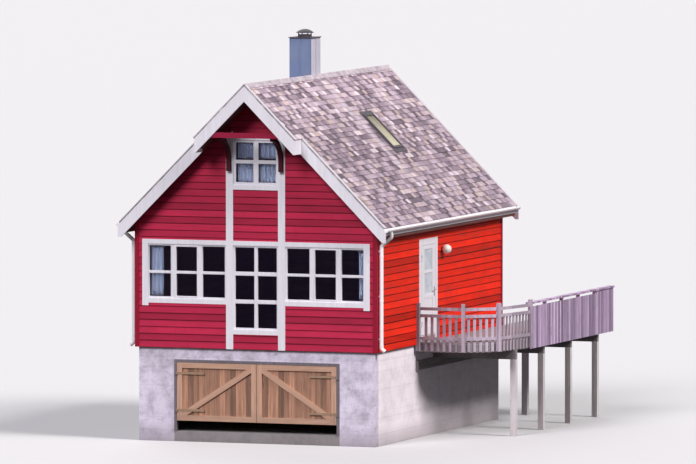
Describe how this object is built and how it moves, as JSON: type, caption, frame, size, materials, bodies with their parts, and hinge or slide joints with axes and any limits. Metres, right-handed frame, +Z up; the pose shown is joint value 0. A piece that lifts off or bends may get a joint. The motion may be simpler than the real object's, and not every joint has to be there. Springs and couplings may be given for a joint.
{
  "type": "boathouse",
  "caption": "Red gabled boathouse with a slate roof and hood on a concrete boat store, with boat doors in the front and a railed timber deck along one side.",
  "frame": {"origin": "middle of the house at the level of the lowest ground, on the underside of the boat store floor", "axes": "+Z up; the gable front with the boat doors faces -Y; the deck is on the +X side"},
  "size_m": [7.8008, 10.622, 8.6476],
  "materials": {
    "concrete": "board-marked concrete",
    "concrete_floor": "rough floated concrete",
    "grey_frame": "grey painted timber",
    "pine": "oiled pine boards",
    "floor_timber": "bare timber",
    "red_boards": "red painted lap siding",
    "white_boards": "white gloss paint",
    "window_glass": "clear",
    "door_steel": "brushed",
    "lamp_globe": "opal",
    "slate": "weathered slates",
    "dark_metal": "dark coated sheet",
    "dark_red_timber": "dark red paint",
    "white_metal": "white coated sheet",
    "chimney_metal": "blue-grey coated sheet",
    "grey_timber": "weathered bare timber"
  },
  "bodies": {
    "house": {"base_front_piers": "concrete", "base_lintel": "concrete", "base_sides": "concrete", "base_back": "concrete", "boat_floor": "concrete_floor", "boat_door_frame": "grey_frame", "upper_floor": "floor_timber", "front_wall": "red_boards", "back_wall": "red_boards", "left_wall": "red_boards", "right_wall": "red_boards", "right_wall_at_door": "red_boards", "corner_boards": "red_boards", "front_trims": "white_boards", "band_windows": "white_boards", "middle_window": "white_boards", "gable_window": "white_boards", "window_glass": "window_glass", "side_door_frame": "white_boards", "wall_lamp": "lamp_globe", "roof_left": "slate", "roof_right": "slate", "ridge_cap": "dark_metal", "bargeboards": "white_boards", "hood_bargeboards": "white_boards", "hood_frame": "dark_red_timber", "eave_fascias": "white_boards", "gutters": "white_metal", "downpipes": "white_metal", "chimney": "chimney_metal", "chimney_cap": "dark_metal", "skylight_frame": "dark_metal", "deck_bearers": "grey_timber", "deck_joists": "grey_timber", "deck_floor": "grey_timber", "deck_posts": "grey_timber", "deck_rail_front": "grey_timber", "deck_rail_slant": "grey_timber", "deck_rail_side": "grey_timber", "deck_screen": "grey_timber"},
    "boat_door_left": {"boat_door_left": "pine"},
    "boat_door_right": {"boat_door_right": "pine"},
    "side_door": {"side_door": "white_boards", "side_door_glass": "window_glass", "side_door_handle": "door_steel"}
  },
  "joints": [
    {"name": "boat_door_left_swing", "type": "hinge", "parent": "house", "child": "boat_door_left", "pos_m": [-1.812, -3.965, 1], "axis": [0, 0, -1], "range_deg": [0, 105]},
    {"name": "boat_door_right_swing", "type": "hinge", "parent": "house", "child": "boat_door_right", "pos_m": [1.812, -3.965, 1], "axis": [0, 0, 1], "range_deg": [0, 105]},
    {"name": "side_door_swing", "type": "hinge", "parent": "house", "child": "side_door", "pos_m": [2.766, -1.232, 3], "axis": [0, 0, -1], "range_deg": [0, 95]}
  ]
}
